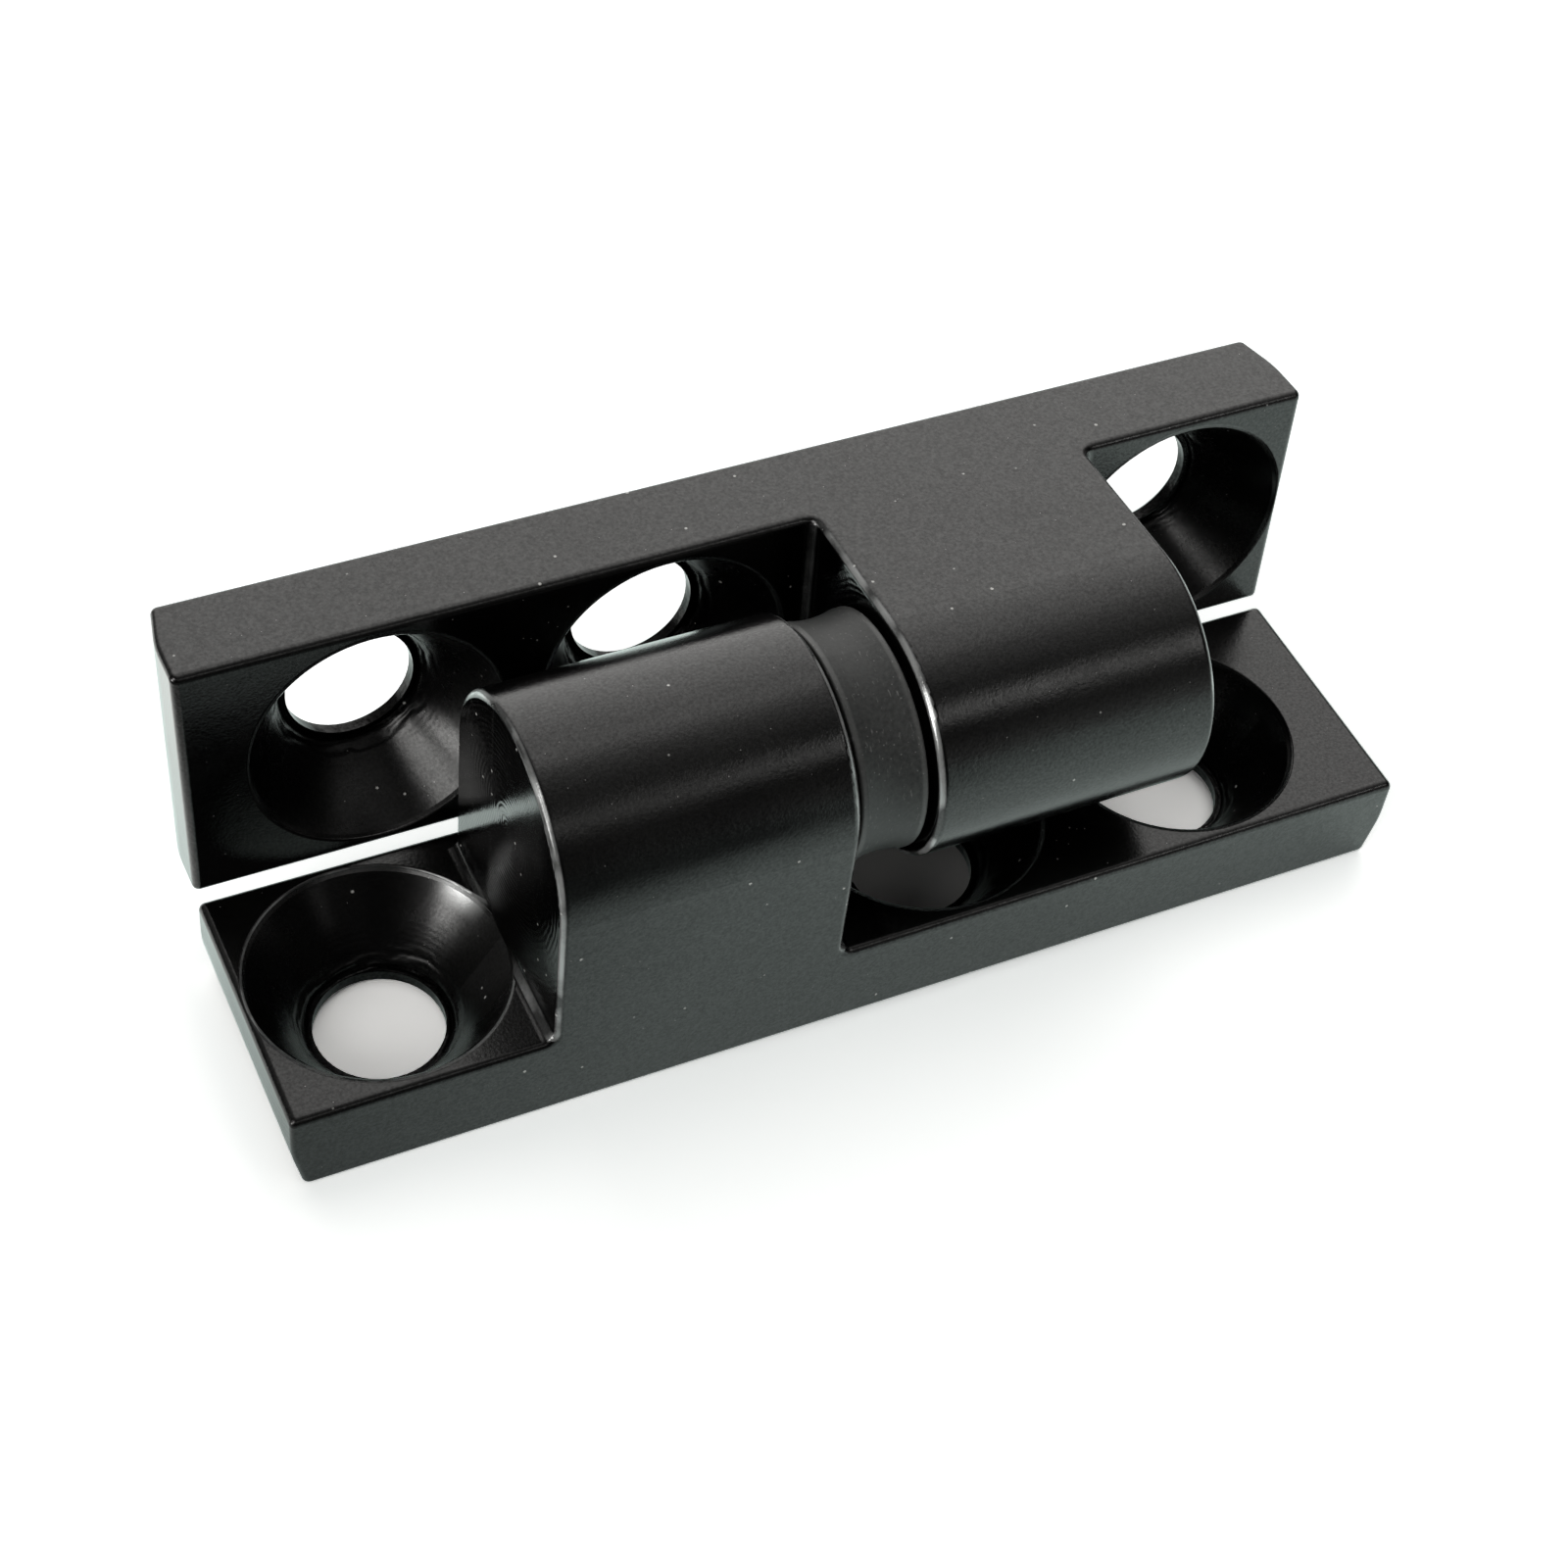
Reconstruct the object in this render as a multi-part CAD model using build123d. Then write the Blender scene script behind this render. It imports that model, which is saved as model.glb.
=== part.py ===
from build123d import *
import math
import os

# Two-leaf friction hinge, millimetres.
# Frame: origin at the centre of the fixed leaf's mounting face, +Z away from that face.
# +X runs along the shaft, with the fixed leaf's knuckle at the -X end, and +Y towards the swing leaf.
# Both leaves are one casting. The swing leaf is turned end for end about the shaft's axis.

# Leaf plate
leaf_length = 60.0
leaf_thickness = 5.2
leaf_corner_gap = 0.8
corner_radius = 0.3
end_foot_height = 2.5
end_foot_inset = 0.55
end_foot_radius = 0.4
end_knee_radius = 6.0
edge_radius = 0.4

# Knuckle
barrel_radius = 6.65
knuckle_length = 15.0
knuckle_ledge_width = 0.7
knuckle_foot_radius = 0.6

# Screw holes, for M6 countersunk screws
screw_bore_radius = 3.25
screw_land_height = 0.9
screw_ledge_width = 0.3
screw_back_chamfer = 0.3
countersink_radius = 6.25
countersink_lip = 0.15
near_hole_end_distance = 6.7
far_hole_end_distance = 9.6
far_hole_pitch = 14.8

# Spacer ring between the knuckles
ring_width = 3.5
ring_recess = 0.65
ring_lip_width = 0.35
ring_edge_radius = 0.12
ring_waist_depth = 0.2
ring_side_gap = 0.3
ring_fit_clearance = 0.02

# Shaft
shaft_radius = 3.0
shaft_press_length = 11.5
shaft_flat_depth = 0.4
shaft_press_chamfer = 0.4
shaft_end_chamfer = 0.2
socket_clearance = 0.01
socket_end_gap = 0.5
running_clearance = 0.03

# Friction unit in the swing leaf's knuckle
knuckle_end_wall = 1.5
unit_ring_width = 1.65
keyway_width = 2.0
keyway_depth = 0.8
bush_length = 2.0
bush_chamfer = 0.25
clip_thickness = 0.7
clip_bore_clearance = 0.15
clip_tail_clearance = 0.1
clip_slit_width = 0.8
clip_slit_angle = 42.0

# Retaining ring and its groove, at the shaft's far end
retainer_thickness = 0.6
retainer_width = 1.5
retainer_mouth_width = 4.0
retainer_side_gap = 0.2
groove_depth = 0.5
groove_clearance = 0.05
shaft_tail_length = 0.6
unit_end_gap = 0.3

# Pose shown: how many degrees the leaves stop short of their corners meeting
opening_margin = 1.9

# The leaf's sizes and places, worked out
leaf_width = 2 * barrel_radius + knuckle_ledge_width
countersink_root_radius = screw_bore_radius + screw_ledge_width
outer_side_y = -leaf_width / 2
axis_y = outer_side_y + barrel_radius
knuckle_side_y = axis_y + barrel_radius
corner_reach = leaf_width / 2 - axis_y
axis_height = leaf_thickness + corner_reach + leaf_corner_gap
knuckle_gap = ring_width + 2 * ring_side_gap
knuckle_inner_x = -knuckle_gap / 2
knuckle_outer_x = knuckle_inner_x - knuckle_length
near_hole_x = near_hole_end_distance - leaf_length / 2
far_hole_x = leaf_length / 2 - far_hole_end_distance
middle_hole_x = far_hole_x - far_hole_pitch

# The unit's places along the shaft, counted from the mouth of the swing leaf's knuckle
unit_depth = knuckle_length - knuckle_end_wall
unit_end_room = retainer_side_gap + retainer_thickness + shaft_tail_length + unit_end_gap
rounding = 1e-6
clip_count = int((unit_depth - bush_length - unit_end_room) / clip_thickness + rounding)
clips_end = bush_length + clip_count * clip_thickness
retainer_start = clips_end + retainer_side_gap
shaft_reach = retainer_start + retainer_thickness + shaft_tail_length

# Angle between the two countersunk faces, at the pose shown
corner_angle = math.degrees(math.atan2(corner_reach, corner_reach + leaf_corner_gap))
open_angle = 180 - 2 * corner_angle - opening_margin

# Radii that fit one another
ring_radius = barrel_radius - ring_recess
shaft_flat_distance = shaft_radius - shaft_flat_depth
unit_bore_radius = shaft_radius + unit_ring_width
keyway_radius = unit_bore_radius + keyway_depth
running_radius = shaft_radius + running_clearance
bush_radius = unit_bore_radius - socket_clearance
clip_radius = unit_bore_radius - clip_bore_clearance
clip_tail_radius = keyway_radius - clip_bore_clearance
clip_tail_width = keyway_width - 2 * clip_tail_clearance
groove_radius = shaft_radius - groove_depth
retainer_bore_radius = groove_radius + groove_clearance

# How far a cutting solid passes the face it cuts
past = 1.0

shaft_axis = Axis((0, axis_y, axis_height), (1, 0, 0))
turning_plane = Plane(origin=(0, axis_y, axis_height), x_dir=(1, 0, 0), z_dir=(0, -1, 0))
side_plane = Plane(origin=(0, outer_side_y, 0), x_dir=(1, 0, 0), z_dir=(0, -1, 0))

# Turns a solid from the fixed leaf's frame into the swing leaf's place.
swing_place = (
    Pos(0, axis_y, axis_height)
    * Rot(180 - open_angle, 0, 0)
    * Rot(0, 0, 180)
    * Pos(0, -axis_y, -axis_height)
)


def across_shaft(x):
    """Plane square to the shaft at x: sketch X is +Y and sketch Y is +Z, from the shaft's centre."""
    return Plane(origin=(x, axis_y, axis_height), x_dir=(0, 1, 0), z_dir=(1, 0, 0))


def turned(*points):
    """Solid of revolution about the shaft's axis, from points of (x, radius)."""
    return revolve(turning_plane * make_face(Polyline(*points, close=True)), shaft_axis, 360)


def plate():
    """Leaf plate, with its ends drawn in a little towards the mounting face."""
    half = leaf_length / 2
    foot = half - end_foot_inset
    left_side = ((-half, leaf_thickness), (-half, end_foot_height), (-foot, 0))
    right_side = ((foot, 0), (half, end_foot_height), (half, leaf_thickness))
    outline = make_face(Polyline(*left_side, *right_side, close=True))
    heights = outline.vertices().group_by(Axis.Y)
    outline = fillet(heights[1], end_knee_radius)
    outline = fillet(outline.vertices().group_by(Axis.Y)[0], end_foot_radius)
    return extrude(side_plane * outline, -leaf_width)


def knuckle():
    """Knuckle block with an arched top, flush with the leaf's outer side."""
    section = Circle(barrel_radius) + Pos(0, -axis_height / 2) * Rectangle(2 * barrel_radius, axis_height)
    return extrude(across_shaft(knuckle_outer_x) * section, knuckle_length)


def foot_web(end_x, away):
    """Concave fillet between the plate and one end face of the knuckle."""
    corner = (end_x, leaf_thickness)
    on_plate = (end_x + away * knuckle_foot_radius, leaf_thickness)
    on_end = (end_x, leaf_thickness + knuckle_foot_radius)
    arc = RadiusArc(on_plate, on_end, away * knuckle_foot_radius)
    web = make_face([Line(corner, on_plate), arc, Line(on_end, corner)])
    return extrude(side_plane * web, outer_side_y + edge_radius - knuckle_side_y)


def is_lower_edge(edge):
    """Edges of the two long sides below the countersunk face, with the upright corners."""
    middle = edge.center()
    on_side = abs(abs(middle.Y) - leaf_width / 2) < rounding
    return on_side and middle.Z < leaf_thickness - rounding


def is_upper_edge(edge):
    """Rim of the countersunk face, and the edge that runs from it over the knuckle."""
    middle = edge.center()
    box = edge.bounding_box()
    if abs(middle.Z - leaf_thickness) < rounding:
        at_end = abs(middle.X) > leaf_length / 2 - corner_radius
        at_side = abs(abs(middle.Y) - leaf_width / 2) < rounding
        return at_end or at_side
    on_foot = edge.geom_type == GeomType.CIRCLE and abs(middle.Y - outer_side_y) < rounding
    on_arch = edge.geom_type == GeomType.CIRCLE and middle.Z > axis_height
    upright = edge.geom_type == GeomType.LINE and box.size.Z > knuckle_foot_radius + rounding
    return middle.Z > leaf_thickness and (on_foot or on_arch or upright)


def screw_hole(x):
    """Tool for one screw hole: chamfer, bore, ledge, countersink and its broken lip."""
    lip_start = leaf_thickness - countersink_lip
    rim = countersink_radius + countersink_lip
    above = leaf_thickness + knuckle_foot_radius + past
    points = (
        (0, -past),
        (screw_bore_radius + screw_back_chamfer, -past),
        (screw_bore_radius + screw_back_chamfer, 0),
        (screw_bore_radius, screw_back_chamfer),
        (screw_bore_radius, screw_land_height),
        (countersink_root_radius, screw_land_height),
        (countersink_radius, lip_start),
        (rim, leaf_thickness),
        (rim, above),
        (0, above),
    )
    profile = Plane.XZ * make_face(Polyline(*points, close=True))
    tool = Pos(x, 0, 0) * revolve(profile, Axis.Z, 360)
    guard = Pos((knuckle_inner_x + knuckle_outer_x) / 2, 0, 0) * Box(
        knuckle_length, 2 * leaf_width, 2 * (above + past)
    )
    return tool - guard


def casting():
    """The leaf as cast, without the bore in its knuckle."""
    body = plate() + knuckle()
    body += foot_web(knuckle_outer_x, -1)
    body += foot_web(knuckle_inner_x, 1)
    body = fillet(body.edges().filter_by(is_lower_edge), corner_radius)
    body = fillet(body.edges().filter_by(is_upper_edge), edge_radius)
    for x in (near_hole_x, middle_hole_x, far_hole_x):
        body -= screw_hole(x)
    return body


def flatted_section(clearance):
    """Section of the shaft's pressed end: a circle with two flats."""
    flats = 2 * (shaft_flat_distance + clearance)
    return Circle(shaft_radius + clearance) & Rectangle(2 * leaf_width, flats)


def shaft_socket():
    """Blind socket for the pressed end of the shaft."""
    depth = shaft_press_length + socket_end_gap
    return extrude(across_shaft(knuckle_inner_x) * flatted_section(socket_clearance), -depth)


def unit_bore():
    """Blind bore for the friction unit, with the keyway for the clips' tails on the plate's side."""
    keyway = Pos(0, -keyway_radius / 2) * Rectangle(keyway_width, keyway_radius)
    section = Circle(unit_bore_radius) + keyway
    return extrude(across_shaft(knuckle_inner_x) * section, -unit_depth)


def spacer_ring():
    """Ring between the knuckles: two lips and a slightly hollow waist."""
    half = ring_width / 2
    bore = shaft_radius + ring_fit_clearance
    lip = half - ring_lip_width
    waist_radius = ring_radius - ring_waist_depth
    waist = ThreePointArc((-lip, ring_radius), (0, waist_radius), (lip, ring_radius))
    right_side = Polyline((lip, ring_radius), (half, ring_radius), (half, bore))
    left_side = Polyline((half, bore), (-half, bore), (-half, ring_radius), (-lip, ring_radius))
    face = make_face([waist, right_side, left_side])
    lip_edges = face.vertices().filter_by(lambda v: abs(v.X) > lip + rounding and v.Y > bore + rounding)
    return revolve(turning_plane * fillet(lip_edges, ring_edge_radius), shaft_axis, 360)


def hinge_shaft():
    """Shaft: flatted and pressed at the fixed end, round and grooved at the other."""
    start = knuckle_inner_x - shaft_press_length
    end = -knuckle_inner_x + shaft_reach
    groove_start = -knuckle_inner_x + retainer_start - groove_clearance
    groove_end = groove_start + retainer_thickness + 2 * groove_clearance
    body = turned(
        (start, 0),
        (start, shaft_radius - shaft_press_chamfer),
        (start + shaft_press_chamfer, shaft_radius),
        (groove_start, shaft_radius),
        (groove_start, groove_radius),
        (groove_end, groove_radius),
        (groove_end, shaft_radius),
        (end - shaft_end_chamfer, shaft_radius),
        (end, shaft_radius - shaft_end_chamfer),
        (end, 0),
    )
    pressed = across_shaft(start - past) * (Circle(2 * shaft_radius) - flatted_section(0))
    return body - extrude(pressed, shaft_press_length + past)


def retaining_ring():
    """Open ring that sits in the shaft's groove."""
    outer = retainer_bore_radius + retainer_width
    mouth = Pos(0, outer / 2) * Rectangle(retainer_mouth_width, outer)
    section = Circle(outer) - Circle(retainer_bore_radius) - mouth
    return extrude(across_shaft(-knuckle_inner_x + retainer_start) * section, retainer_thickness)


def bearing_bush():
    """Bush in the mouth of the swing leaf's knuckle, in the fixed leaf's frame."""
    inner_end = knuckle_inner_x - bush_length
    return turned(
        (knuckle_inner_x, running_radius),
        (knuckle_inner_x, bush_radius - bush_chamfer),
        (knuckle_inner_x - bush_chamfer, bush_radius),
        (inner_end, bush_radius),
        (inner_end, running_radius),
    )


def friction_clip(index):
    """One split clip with its tail in the keyway, in the fixed leaf's frame. Slits alternate sides."""
    tail_middle = (running_radius + clip_tail_radius) / 2
    tail = Pos(0, -tail_middle) * Rectangle(clip_tail_width, clip_tail_radius - running_radius)
    side = 1 if index % 2 else -1
    slit = Rot(0, 0, side * clip_slit_angle - 90) * Pos(clip_radius / 2, 0)
    slit = slit * Rectangle(clip_radius + past, clip_slit_width)
    section = Circle(clip_radius) + tail - Circle(running_radius) - slit
    start = knuckle_inner_x - bush_length - index * clip_thickness
    return extrude(across_shaft(start) * section, -clip_thickness)


cast_leaf = casting()
parts = {
    "leaf_fixed": cast_leaf - shaft_socket(),
    "leaf_swing": swing_place * (cast_leaf - unit_bore()),
    "hinge_shaft": hinge_shaft(),
    "spacer_ring": spacer_ring(),
    "bearing_bush": swing_place * bearing_bush(),
    "retaining_ring": retaining_ring(),
}
for index in range(clip_count):
    parts[f"friction_clip_{index + 1:02d}"] = swing_place * friction_clip(index)

os.makedirs("parts", exist_ok=True)
for name, solid in parts.items():
    solid.label = name
    export_step(solid, f"parts/{name}.step")
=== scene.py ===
import bpy
import math
from mathutils import Matrix, Vector

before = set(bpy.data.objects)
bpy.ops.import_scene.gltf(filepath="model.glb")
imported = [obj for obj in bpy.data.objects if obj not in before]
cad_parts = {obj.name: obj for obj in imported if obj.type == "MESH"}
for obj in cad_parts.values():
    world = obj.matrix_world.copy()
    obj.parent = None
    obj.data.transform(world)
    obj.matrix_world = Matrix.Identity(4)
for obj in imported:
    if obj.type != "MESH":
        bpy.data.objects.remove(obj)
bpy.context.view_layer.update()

MM = 0.001

# The shaft's axis and the angle between the leaves' countersunk faces
AXIS = Vector((0.0, -0.35, 13.35)) * MM
OPEN_ANGLE = math.radians(94.00916)

# Leaf thickness, the countersinks' outer edge, a radius just past the bore and its narrow ledge,
# and the places of the screw holes along a leaf
LEAF_THICKNESS = 5.2 * MM
RIM_RADIUS = 6.4 * MM
BORE_AND_LEDGE = 3.65 * MM
HOLE_PLACES = (-23.3 * MM, 5.6 * MM, 20.4 * MM)

# Where the spacer ring's raised lips start, from its middle
RING_LIP_START = 1.4 * MM

# A face is told from what lies beside it by this margin
MARGIN = 0.02 * MM

# The coat's two blacks, the dust on it, and the pale metal tint of the painted highlights on edges and
# rims
COOL_BLACK = (0.0002, 0.0002, 0.0003, 1)
WARM_BLACK = (0.0008, 0.0007, 0.0006, 1)
PALE_DUST = (0.62, 0.62, 0.60, 1)
HIGHLIGHT_ZINC = (0.50, 0.51, 0.51, 1)

# The middle part of a cloudy noise, which is stretched to fill the range from 0 to 1
CLOUDY = (0.35, 0.65)


class Wire:
    """A value that a finish's nodes give. Arithmetic on wires adds Math nodes."""

    def __init__(self, finish, socket):
        self.finish = finish
        self.socket = socket

    def maths(self, operation, *values):
        sockets = dict(enumerate(values))
        return self.finish.node("ShaderNodeMath", {"operation": operation}, sockets)

    def maths_of(self, operation):
        return self.maths(operation, self)

    def __add__(self, other):
        return self.maths("ADD", self, other)

    def __radd__(self, other):
        return self.maths("ADD", other, self)

    def __sub__(self, other):
        return self.maths("SUBTRACT", self, other)

    def __rsub__(self, other):
        return self.maths("SUBTRACT", other, self)

    def __mul__(self, other):
        return self.maths("MULTIPLY", self, other)

    def __rmul__(self, other):
        return self.maths("MULTIPLY", other, self)

    def __truediv__(self, other):
        return self.maths("DIVIDE", self, other)

    def __gt__(self, other):
        return self.maths("GREATER_THAN", self, other)

    def __lt__(self, other):
        return self.maths("LESS_THAN", self, other)


class Finish:
    """A material, or the world, built from nodes."""

    def __init__(self, name, block=None):
        self.block = block or bpy.data.materials.new(name)
        self.block.use_nodes = True
        self.tree = self.block.node_tree
        self.tree.nodes.clear()

    def node(self, kind, settings, sockets, output=0):
        """Adds one node: its settings first, then its sockets' values or links."""
        made = self.tree.nodes.new(kind)
        for key, value in settings.items():
            if key == "stops":
                self.set_stops(made.color_ramp, value)
            else:
                setattr(made, key, value)
        for key, value in sockets.items():
            if isinstance(value, Wire):
                self.tree.links.new(value.socket, made.inputs[key])
            else:
                made.inputs[key].default_value = value
        return Wire(self, made.outputs[output]) if made.outputs else made

    def set_stops(self, ramp, stops):
        """Places a ramp's stops, each a position and a grey level."""
        while len(ramp.elements) < len(stops):
            ramp.elements.new(1.0)
        for element, (place, grey) in zip(ramp.elements, stops):
            element.position = place
            element.color = (grey, grey, grey, 1.0)

    def object_place(self):
        return self.node("ShaderNodeTexCoord", {}, {}, "Object")

    def noise(self, place, scale, detail=2.0, roughness=0.5):
        values = {"Vector": place, "Scale": scale, "Detail": detail, "Roughness": roughness}
        return self.node("ShaderNodeTexNoise", {}, values, "Fac")

    def ramp(self, value, *stops):
        return self.node("ShaderNodeValToRGB", {"stops": stops}, {"Fac": value}, "Color")

    def level(self, value, low, high, to_low=0.0, to_high=1.0):
        """Maps a value from one range to another, held at both ends."""
        values = {"Value": value, 1: low, 2: high, 3: to_low, 4: to_high}
        return self.node("ShaderNodeMapRange", {"clamp": True}, values)

    def mix_colour(self, way, share, first, second):
        """Mixes two colours in the way named."""
        values = {0: share, 6: first, 7: second}
        return self.node("ShaderNodeMix", {"data_type": "RGBA", "blend_type": way}, values, 2)

    def blend(self, share, first, second):
        return self.mix_colour("MIX", share, first, second)

    def added(self, first, second):
        return self.mix_colour("ADD", 1.0, first, second)

    def dimmed(self, first, second):
        return self.mix_colour("MULTIPLY", 1.0, first, second)

    def dot(self, vector, other):
        values = {0: vector, 1: other}
        return self.node("ShaderNodeVectorMath", {"operation": "DOT_PRODUCT"}, values, "Value")

    def bump(self, height, distance, strength=1.0, under=None):
        values = {"Height": height, "Distance": distance, "Strength": strength}
        if under is not None:
            values["Normal"] = under
        return self.node("ShaderNodeBump", {}, values)

    def parts(self, vector):
        """The three components of a vector."""
        split = self.node("ShaderNodeSeparateXYZ", {}, {"Vector": vector}, "X")
        others = (Wire(self, split.socket.node.outputs[key]) for key in ("Y", "Z"))
        return (split, *others)

    def light_path(self, ray):
        return self.node("ShaderNodeLightPath", {}, {}, ray)

    def hole_distance(self, along, across):
        """Distance from the axis of the nearest screw hole, in the leaf's plane."""
        offset = None
        for hole in HOLE_PLACES:
            near = (along - hole).maths_of("ABSOLUTE")
            offset = near if offset is None else offset.maths("MINIMUM", offset, near)
        return (offset * offset + across * across).maths_of("SQRT")

    def shaft_place(self, across, up):
        """Distance and turn around the shaft's axis."""
        beside = across - AXIS.y
        above = up - AXIS.z
        distance = (beside * beside + above * above).maths_of("SQRT")
        return distance, beside.maths("ARCTAN2", beside, above)

    def ripples(self, value, pitch, wander):
        """Fine even waves along a value, shifted by a wandering amount."""
        return (value * (2 * math.pi / pitch) + wander).maths_of("SINE")

    def specks(self, place, scale, size, share):
        """Scattered round specks: their radius in cells, and the share of cells that have one."""
        values = {"Vector": place, "Scale": scale, "Randomness": 1.0}
        cells = self.node("ShaderNodeTexVoronoi", {}, values, "Distance")
        pick = Wire(self, cells.socket.node.outputs["Color"])
        chosen = self.parts(pick)[0] < share
        return self.level(cells, size, 0.5 * size) * chosen

    def surface(self, **sockets):
        """Ends a material in a Principled shader."""
        values = {key.replace("_", " "): value for key, value in sockets.items()}
        shader = self.node("ShaderNodeBsdfPrincipled", {}, values)
        self.node("ShaderNodeOutputMaterial", {}, {"Surface": shader})
        return self.block


def swing_turn():
    """Turn and shift from the fixed leaf's frame into the swing leaf's place."""
    back = Matrix.Translation(AXIS) @ Matrix.Rotation(math.pi - OPEN_ANGLE, 4, "X")
    return back @ Matrix.Rotation(math.pi, 4, "Z") @ Matrix.Translation(-AXIS)


def leaf_place(f, turn):
    """Position in the fixed leaf's frame, for a leaf that stands turned from it."""
    undo = turn.inverted()
    shift = {"Location": undo.translation, "Rotation": undo.to_euler()}
    return f.node("ShaderNodeMapping", {"vector_type": "POINT"}, {"Vector": f.object_place(), **shift})


def knuckle_edge_highlight(f, highlight_patchiness, facing, across, up, foot_highlight):
    """Painted highlight on the rounded edges of the knuckle's ends, as a pale metallic tint, stronger
    away from its foot.
    """
    edge = f.level(facing, 0.30, 0.55) * f.level(facing, 0.97, 0.88)
    edge = edge * (up > LEAF_THICKNESS + 0.05 * MM)
    foot = f.level(across, -2 * MM, -6 * MM, 0.06, foot_highlight)
    return edge * highlight_patchiness * f.level(up, LEAF_THICKNESS + 0.9 * MM, LEAF_THICKNESS + 1.6 * MM, foot, 1.0)


def outer_rim_highlight(f, highlight_patchiness, on_face, radius, along, across, up, foot_highlight):
    """Painted highlight along the outer countersink's rim, with a wider painted glint where the rim
    comes close to the knuckle.
    """
    line = f.level(radius, RIM_RADIUS - MARGIN, RIM_RADIUS + MARGIN) * (radius < RIM_RADIUS + 0.11 * MM)
    line = 0.6 * on_face * line * highlight_patchiness * f.level(along, -10 * MM, -16 * MM, 0.0, foot_highlight)
    glint_beside_knuckle = f.level(along, -19.2 * MM, -18.0 * MM) * f.level(along, -17.0 * MM, -17.4 * MM)
    glint_beside_knuckle = glint_beside_knuckle * f.level(across, 1.6 * MM, 2.6 * MM)
    glint_beside_knuckle = glint_beside_knuckle * f.level(across, 4.6 * MM, 3.8 * MM)
    wide = f.level(radius, RIM_RADIUS - 0.75 * MM, RIM_RADIUS - 0.10 * MM)
    wide = wide * (radius < RIM_RADIUS + 0.12 * MM) * (up > LEAF_THICKNESS - 1.2 * MM)
    return line + 0.8 * foot_highlight * glint_beside_knuckle * wide


def leaf_coat(name, turn, foot_highlight):
    """Satin black coat on a zinc casting: powder grain, turned countersinks, painted highlights on edges
    and rims, pale dust.
    """
    f = Finish(name)
    place = leaf_place(f, turn)
    along, across, up = f.parts(place)
    facing = f.parts(f.node("ShaderNodeTexCoord", {}, {}, "Normal"))[0].maths_of("ABSOLUTE")
    radius = f.hole_distance(along, across)
    round_shaft = f.shaft_place(across, up)[0]
    inside = (radius < RIM_RADIUS) * (up < LEAF_THICKNESS - MARGIN) * (up > MARGIN)
    bore = inside * (radius < BORE_AND_LEDGE)
    on_face = (up > LEAF_THICKNESS - 0.17 * MM) * (up < LEAF_THICKNESS + MARGIN)
    end_face = facing > 0.95

    cloud = f.level(f.noise(place, 140.0, 3.0), *CLOUDY)
    grain = f.noise(place, 4200.0, 3.0, 0.6)
    powder = f.level(f.noise(place, 6500.0, 3.0, 0.65), 0.32, 0.68)
    wander = f.noise(place, 500.0)
    dust = f.specks(place, 750.0, 0.075, 0.30)
    lint = f.specks(place, 2300.0, 0.09, 0.20)

    # Painted highlights on the knuckles' edges and the countersinks' rims, patchy along their run
    highlight_patchiness = f.level(f.noise(place, 420.0), 0.38, 0.58, 0.10, 1.0)
    painted_highlight = knuckle_edge_highlight(f, highlight_patchiness, facing, across, up, foot_highlight)
    painted_highlight = painted_highlight + outer_rim_highlight(f, highlight_patchiness, on_face, radius, along, across, up, foot_highlight)
    painted_highlight = painted_highlight.maths("MINIMUM", painted_highlight, 1.0)

    tint = f.blend(cloud, COOL_BLACK, WARM_BLACK)
    tint = f.blend(0.80 * dust + 0.30 * lint, tint, PALE_DUST)
    tint = f.blend(0.85 * painted_highlight, tint, HIGHLIGHT_ZINC)
    rough = 0.12 + 0.10 * cloud + 0.06 * grain + 0.30 * dust - 0.06 * end_face + 0.05 * inside
    # The bores are made partly metallic, which on the black coat takes out their reflections: a painted
    # shade
    metal = (0.42 * powder + 0.6 * bore) * (1.0 - painted_highlight) + 0.55 * painted_highlight

    # Softened rims, the casting's slow waves, the coat's grain, and the tool marks
    rim = 1.0 - f.level(radius, RIM_RADIUS - MARGIN, RIM_RADIUS + 0.20 * MM)
    relief = f.bump(1.0 - rim * rim, 0.15 * MM, on_face)
    relief = f.bump(f.noise(place, 300.0), 0.035 * MM, 0.6, relief)
    relief = f.bump(f.noise(place, 1100.0), 0.012 * MM, 0.45, relief)
    sand = 0.4 * grain + 0.6 * powder
    relief = f.bump(sand, 0.0054 * MM, 1.0 - 0.6 * inside - 0.5 * end_face, relief)
    turned = f.ripples(radius, 0.17 * MM, 3.0 * wander)
    turned_share = inside * f.level(radius, 5.2 * MM, 3.9 * MM, 0.12, 1.0)
    relief = f.bump(turned, 0.0014 * MM, turned_share, relief)
    burr = f.ripples(radius, 0.34 * MM, 14.0 * wander)
    relief = f.bump(burr, 0.012 * MM, inside * f.level(radius, 4.35 * MM, 3.85 * MM), relief)
    milled = f.ripples(round_shaft, 0.31 * MM, 9.0 * wander)
    relief = f.bump(milled, 0.0022 * MM, 0.8 * end_face, relief)
    shine = {"Roughness": rough, "Metallic": metal, "Specular_IOR_Level": 0.61}
    return f.surface(Base_Color=tint, Normal=relief, **shine)


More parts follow.
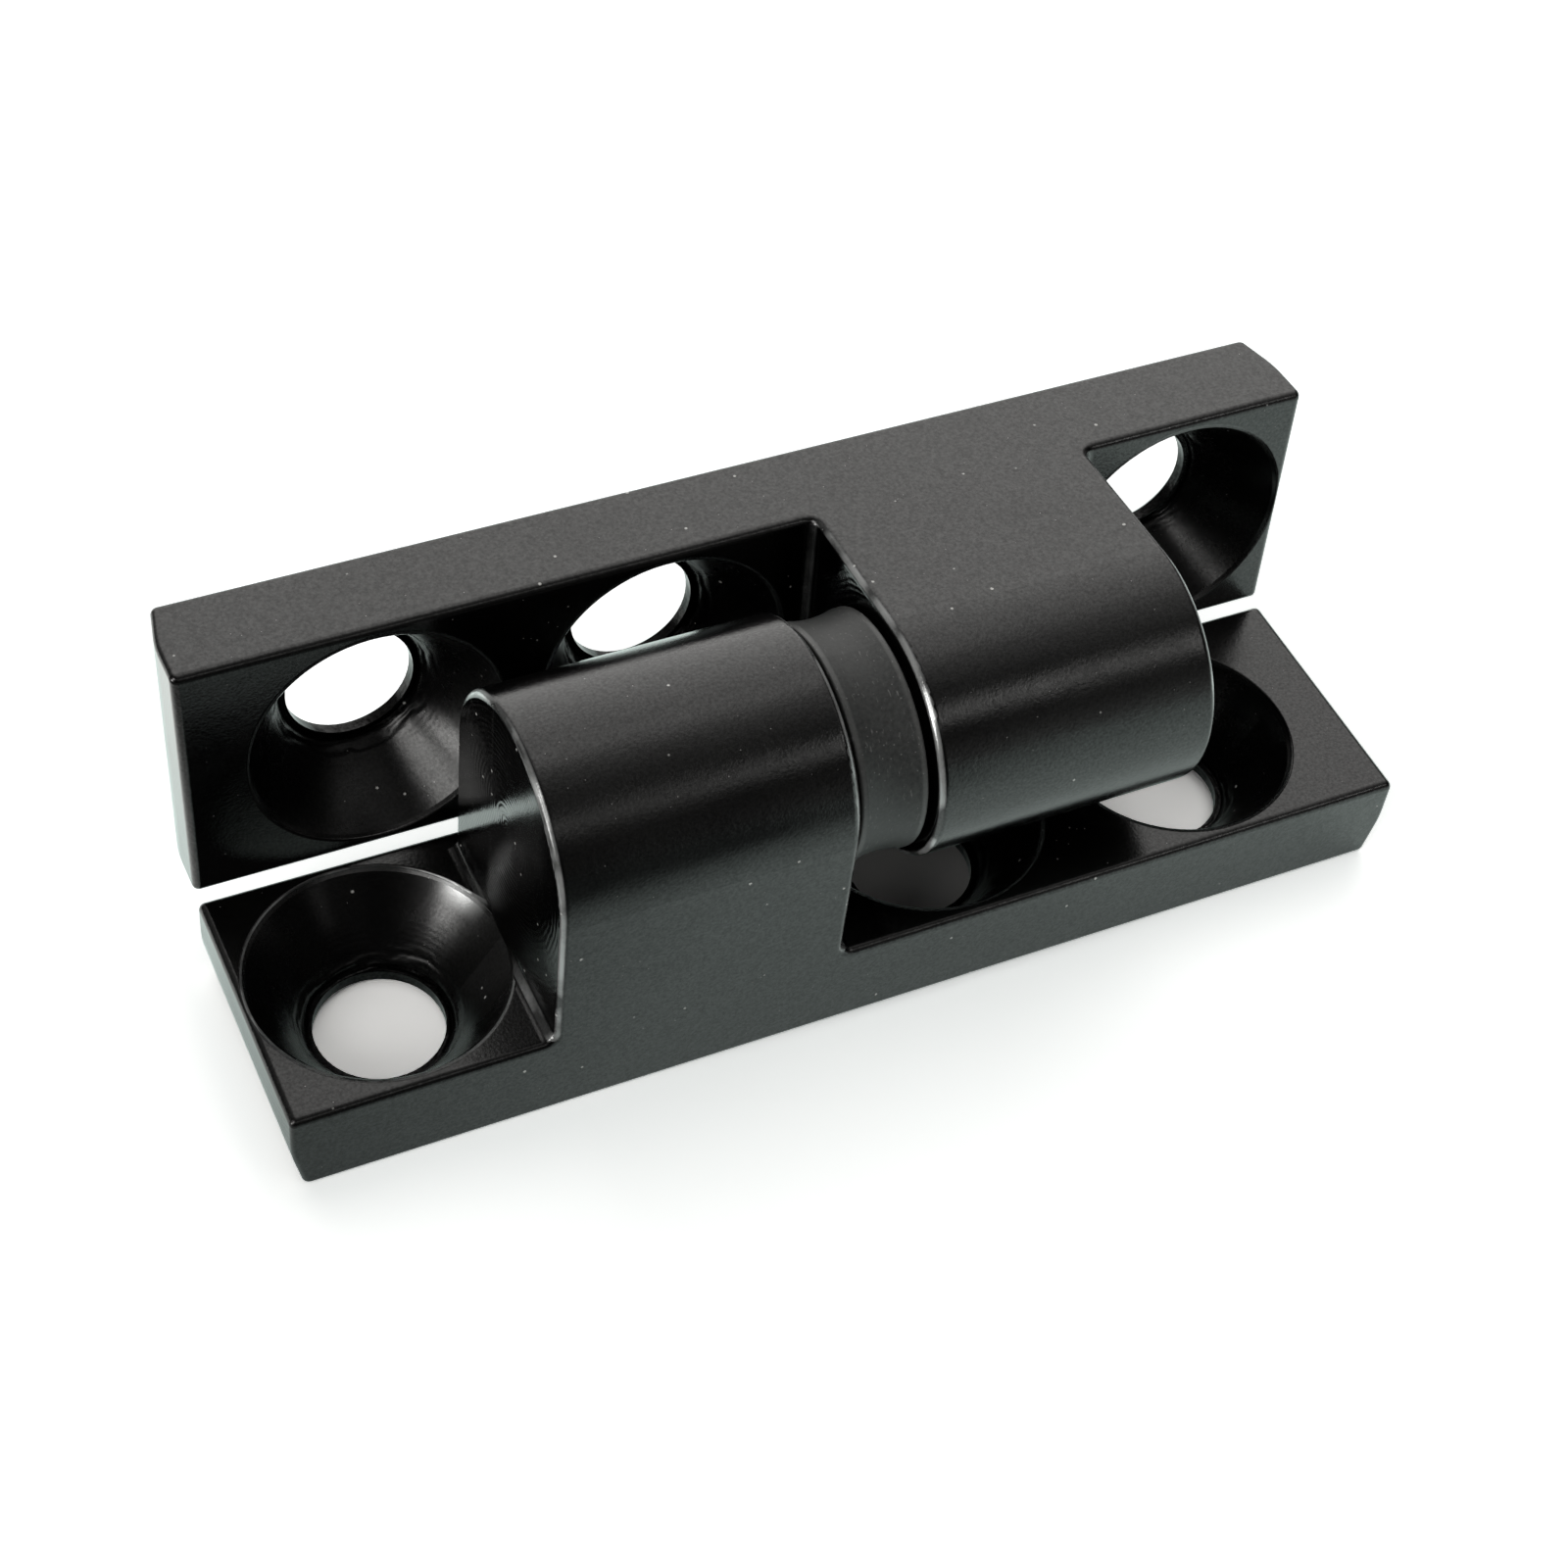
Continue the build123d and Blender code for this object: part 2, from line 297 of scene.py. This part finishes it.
def moulding():
    """Dull black moulding of the spacer ring: speckled, scuffed along its turn, with a painted highlight
    on its lips.
    """
    f = Finish("moulding")
    place = f.object_place()
    along, across, up = f.parts(place)
    around = f.shaft_place(across, up)[1]
    run = f.node("ShaderNodeCombineXYZ", {}, {"X": along / MM, "Y": 1.6 * around})
    grain = f.noise(place, 5200.0, 2.0, 0.6)
    pores = f.specks(place, 4200.0, 0.20, 0.30)
    scuffs = f.level(f.noise(run, 5.0, 3.0, 0.6), 0.62, 0.74)
    lips = f.level(along.maths_of("ABSOLUTE"), RING_LIP_START - 0.04 * MM, RING_LIP_START + 0.10 * MM)
    tint = f.blend(f.level(grain, 0.3, 0.7), (0.014, 0.015, 0.015, 1), (0.036, 0.038, 0.037, 1))
    # Pale pores and scuffs, and a painted highlight on the lips
    tint = f.blend(0.20 * pores + 0.22 * scuffs + 0.07 * lips, tint, (0.50, 0.50, 0.49, 1))
    relief = f.bump(grain, 0.012 * MM, 0.7)
    relief = f.bump(scuffs, 0.006 * MM, 0.6, relief)
    rough = 0.44 + 0.16 * grain - 0.12 * lips
    return f.surface(Base_Color=tint, Roughness=rough, Specular_IOR_Level=0.47, Normal=relief)


def worked_metal(name, dark, light, roughness, pitch, pitting):
    """Bare metal with lathe or press marks that run around the shaft, cloudy tone and small pits."""
    f = Finish(name)
    place = f.object_place()
    along, across, up = f.parts(place)
    radius = f.shaft_place(across, up)[0]
    cloud = f.noise(place, 260.0, 3.0)
    grain = f.noise(place, 6000.0, 2.0, 0.6)
    pits = f.specks(place, 2600.0, 0.22, pitting)
    marks = f.ripples(along + radius, pitch, 5.0 * cloud)
    tint = f.blend(f.level(cloud, *CLOUDY), dark, light)
    tint = f.blend(0.7 * pits, tint, (0.03, 0.028, 0.025, 1))
    rough = roughness + 0.08 * grain + 0.05 * marks + 0.25 * pits
    relief = f.bump(marks, 0.0012 * MM, 0.8)
    relief = f.bump(pits, 0.010 * MM, 0.5, relief)
    return f.surface(Base_Color=tint, Roughness=rough, Metallic=1.0, Normal=relief)


def ground_steel():
    tones = (0.46, 0.46, 0.47, 1), (0.58, 0.58, 0.59, 1)
    return worked_metal("ground_steel", *tones, roughness=0.20, pitch=0.12 * MM, pitting=0.04)


def sintered_bronze():
    tones = (0.42, 0.28, 0.13, 1), (0.60, 0.43, 0.20, 1)
    return worked_metal("sintered_bronze", *tones, roughness=0.32, pitch=0.20 * MM, pitting=0.45)


def tempered_spring():
    tones = (0.12, 0.13, 0.16, 1), (0.24, 0.23, 0.24, 1)
    return worked_metal("tempered_spring", *tones, roughness=0.28, pitch=0.09 * MM, pitting=0.10)


def dress(obj, material):
    """Gives a piece its finish in a material slot of its own."""
    obj.data.materials.clear()
    obj.data.materials.append(material)


def dress_hinge(nodes):
    """Gives every solid its finish. The foot of the fixed leaf's knuckle gets the stronger painted
    highlight.
    """
    dress(nodes["leaf_fixed"], leaf_coat("fixed_leaf_coat", Matrix.Identity(4), 0.9))
    dress(nodes["leaf_swing"], leaf_coat("swing_leaf_coat", swing_turn(), 0.1))
    dress(nodes["spacer_ring"], moulding())
    dress(nodes["hinge_shaft"], ground_steel())
    dress(nodes["bearing_bush"], sintered_bronze())
    spring = tempered_spring()
    for node in nodes.values():
        if node.name.startswith("friction_clip") or node.name == "retaining_ring":
            dress(node, spring)


def floor_outside(f, along, across):
    """1 on the floor around the hinge, 0 under it and behind its screw holes."""
    past_ends = f.level(along.maths_of("ABSOLUTE"), 28 * MM, 31 * MM)
    past_sides = f.level(across.maths_of("ABSOLUTE"), 5 * MM, 7.5 * MM)
    return past_ends.maths("MAXIMUM", past_ends, past_sides)


def floor_in_gloss(f, along, across):
    """Painted light and shade on the floor as the hinge's gloss shows it: bright near the hinge and on
    to the right of it, with a painted shadow farther off in front.
    """
    toward_viewer = -1.0 * across
    near = f.level(toward_viewer - 0.8 * along, 18 * MM, 50 * MM, 1.0, 0.08)
    to_right = f.level(along / toward_viewer, 0.38, 0.43) * (across < -30 * MM) * 0.85
    return near.maths("MAXIMUM", near, to_right)


def stage_floor():
    """Pale floor that keeps the hinge's shadow, with painted light and shade in the gloss and behind the
    screw holes.
    """
    bpy.ops.mesh.primitive_plane_add(size=4.0, location=(0, 0, -MARGIN))
    floor = bpy.context.object
    floor.name = "floor"
    f = Finish("pale_floor")
    camera_ray, glossy_ray, clear_ray = (
        f.light_path(ray) for ray in ("Is Camera Ray", "Is Glossy Ray", "Is Transmission Ray")
    )
    along, across, up = f.parts(f.object_place())
    outside = floor_outside(f, along, across)
    bright = floor_in_gloss(f, along, across)
    # Painted light and shade in the floor's gloss: brighter and neutral left of the hinge, dimmer and
    # greener from its left end on
    painted_gloss_shade = f.level(along, -36 * MM, -31 * MM)
    gloss = f.dimmed(bright, f.blend(painted_gloss_shade, (2.00, 2.03, 2.00, 1), (1.12, 1.32, 1.27, 1)))
    # Painted light and shade on the floor seen through the screw holes: bright under the outer holes,
    # dark under the middle one, which the swing knuckle shades
    painted_light_behind_holes = f.level(along, -30 * MM, 30 * MM)
    painted_light_behind_holes = f.ramp(painted_light_behind_holes, (0.25, 2.35), (0.50, 0.5), (0.68, 0.5), (0.82, 1.85))
    shown = f.blend(outside, painted_light_behind_holes, (1.31, 1.31, 1.32, 1))
    shade = f.blend(glossy_ray, (0.8, 0.8, 0.8, 1), gloss)
    shade = f.blend((camera_ray + clear_ray) > 0.5, shade, shown)
    pale = f.node("ShaderNodeBsdfDiffuse", {}, {"Color": shade})
    # The camera sees the floor around the hinge evenly brighter; the gloss sees it glow, a painted light
    lift = (0.30 * camera_ray + 0.34 * glossy_ray * bright) * outside
    lift = f.node("ShaderNodeEmission", {}, {"Color": (0.92, 1.0, 0.99, 1), "Strength": lift})
    both = f.node("ShaderNodeAddShader", {}, {0: pale, 1: lift})
    f.node("ShaderNodeOutputMaterial", {}, {"Surface": both})
    floor.data.materials.append(f.block)


# Directions to the window's panes at the left and to the lamp overhead: where each one's glow
# starts, as the cosine of the angle from its middle, and how bright it is
BRIGHT_SPOTS = (
    ((-0.684, -0.349, 0.640), 0.965, 2.1),
    ((-0.874, -0.267, 0.407), 0.965, 0.7),
    ((-0.970, -0.189, 0.156), 0.976, 4.0),
    ((-0.988, 0.139, 0.070), 0.965, 0.3),
    ((0.241, 0.151, 0.959), 0.983, 0.32),
)

# Glow of the room by the cosine of the angle from its bright side, high behind the hinge
BRIGHT_SIDE = (0.366, 0.785, 0.5)
ROOM_STRENGTH = 2.2
ROOM_GLOW = (
    (-1.0, 0.02), (-0.77, 0.04), (-0.51, 0.08), (-0.30, 0.10), (0.00, 0.12), (0.16, 0.16), (0.30, 0.24),
    (0.45, 0.50), (0.56, 0.64), (0.66, 0.82), (0.73, 1.09), (0.83, 1.50), (0.925, 1.78), (0.99, 2.05),
)


def front_strip(f, aside, depth, height):
    """Level strip of light in front of the hinge, which ends bright at the right."""
    strip = f.ramp(height, (0.54, 0.0), (0.60, 1.0), (0.66, 1.0), (0.73, 0.0))
    bright_end = f.level(aside, 0.435, 0.465) * f.level(aside, 0.54, 0.50)
    in_front = f.level(depth, -0.30, -0.50) * f.level(aside, 0.54, 0.50, 0.1, 1.0)
    return f.dimmed(strip, (0.36 + 2.2 * bright_end) * in_front)


def low_right_glow(f, aside, depth, height):
    """Weak low glow in front of the hinge, right of the viewer."""
    to_right = f.level(0.927 * aside + 0.375 * depth, -0.01, 0.03)
    return 0.24 * to_right * f.level(depth, -0.30, -0.60) * f.level(height, 0.36, 0.04)


def studio_world():
    """Soft surroundings: bright behind the hinge, dim in front but for a strip, white to the camera."""
    world = bpy.data.worlds.new("studio")
    bpy.context.scene.world = world
    f = Finish("studio", world)
    direction = f.node("ShaderNodeTexCoord", {}, {}, "Generated")
    aside, depth, height = f.parts(direction)
    facing = 0.5 + 0.5 * f.dot(direction, BRIGHT_SIDE)
    stops = ((0.5 + 0.5 * turn, glow / ROOM_STRENGTH) for turn, glow in ROOM_GLOW)
    lit = f.ramp(facing, *stops)
    lit = f.added(lit, front_strip(f, aside, depth, height))
    lit = f.added(lit, low_right_glow(f, aside, depth, height))
    lit = f.dimmed(lit, f.level(aside, 0.64, 0.80, 1.0, 0.12))
    lit = f.dimmed(lit, f.level(aside, -0.10, -0.24, 1.0, 0.42))
    for spot, edge, glare in BRIGHT_SPOTS:
        full = 0.5 + 0.5 * edge
        lit = f.added(lit, f.level(f.dot(direction, spot), edge, full, 0.0, glare))
    lit = f.dimmed(lit, (1.0, 0.99, 0.965, 1))
    room = f.node("ShaderNodeBackground", {}, {"Color": lit, "Strength": ROOM_STRENGTH})
    white = f.node("ShaderNodeBackground", {}, {"Color": (1, 1, 1, 1), "Strength": 1.0})
    camera_ray = f.light_path("Is Camera Ray")
    shown = f.node("ShaderNodeMixShader", {}, {0: camera_ray, 1: room, 2: white})
    f.node("ShaderNodeOutputWorld", {}, {"Surface": shown})


def camera():
    """The photograph's view."""
    data = bpy.data.cameras.new("view")
    data.lens = 68.913
    data.sensor_width = 36.0
    data.clip_start = 0.01
    made = bpy.data.objects.new("view", data)
    made.location = (-0.051824, -0.083780, 0.119132)
    made.rotation_euler = [math.radians(a) for a in (41.55187, -5.13467, -24.71847)]
    bpy.context.scene.collection.objects.link(made)
    bpy.context.scene.camera = made


dress_hinge(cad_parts)
stage_floor()
studio_world()
camera()
bpy.context.scene.view_settings.view_transform = "Standard"
